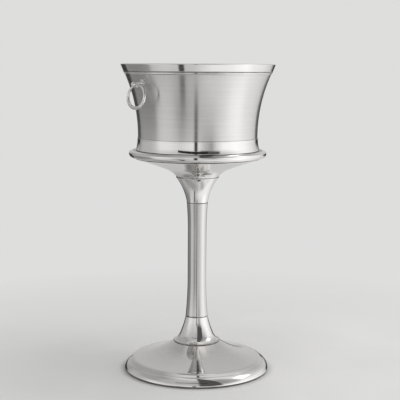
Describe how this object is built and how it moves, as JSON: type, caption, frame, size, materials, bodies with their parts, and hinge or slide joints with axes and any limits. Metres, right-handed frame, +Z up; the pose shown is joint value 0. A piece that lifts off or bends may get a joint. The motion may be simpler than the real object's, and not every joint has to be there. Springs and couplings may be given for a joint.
{
  "type": "champagne bucket stand",
  "caption": "Round double-walled metal ice tub with hanging ring handles, resting in the tray of a waisted pedestal stand on a weighted round base.",
  "frame": {"origin": "on the floor at the centre of the base, under the pads", "axes": "+Z up along the column; the two handles are on +X and -X"},
  "size_m": [0.49, 0.4572, 0.9201],
  "materials": {
    "brushed_steel": "fine circumferential brushing",
    "polished_steel": "mirror polished stainless steel",
    "satin_steel": "satin stainless steel",
    "bare_steel": "plain mill finish",
    "zinc_hardware": "zinc plated",
    "hub_aluminium": "turned",
    "cast_iron": "as cast",
    "black_rubber": "matte"
  },
  "bodies": {
    "stand": {"base_dome": "satin_steel", "base_edge_band": "polished_steel", "base_weight": "cast_iron", "base_cover": "bare_steel", "cover_screws": "zinc_hardware", "floor_pads": "black_rubber", "spreader_plate": "bare_steel", "rod_washer": "zinc_hardware", "rod_nut": "zinc_hardware", "tie_rod": "zinc_hardware", "lower_hub": "hub_aluminium", "lower_collar": "polished_steel", "stem_tube": "satin_steel", "upper_hub": "hub_aluminium", "upper_collar": "polished_steel", "tray_flare": "polished_steel", "tray_hub": "hub_aluminium", "tray_screws": "zinc_hardware", "tray": "polished_steel"},
    "tub": {"outer_wall": "brushed_steel", "inner_liner": "polished_steel", "foot_band": "polished_steel", "tub_base": "satin_steel", "right_escutcheon": "polished_steel", "left_escutcheon": "polished_steel", "right_lug": "polished_steel", "left_lug": "polished_steel", "lug_washers": "zinc_hardware", "lug_nuts": "zinc_hardware"},
    "right_ring_handle": {"right_ring": "polished_steel"},
    "left_ring_handle": {"left_ring": "polished_steel"}
  },
  "joints": [
    {"name": "tub_lift", "type": "slide", "parent": "stand", "child": "tub", "axis": [0, 0, 1], "range_m": [0, 0.1]},
    {"name": "right_ring_swing", "type": "hinge", "parent": "tub", "child": "right_ring_handle", "pos_m": [0.2245, 0, 0.859], "axis": [0, -1, 0], "range_deg": [-33, 150]},
    {"name": "left_ring_swing", "type": "hinge", "parent": "tub", "child": "left_ring_handle", "pos_m": [-0.2245, 0, 0.859], "axis": [0, 1, 0], "range_deg": [-33, 150]}
  ]
}
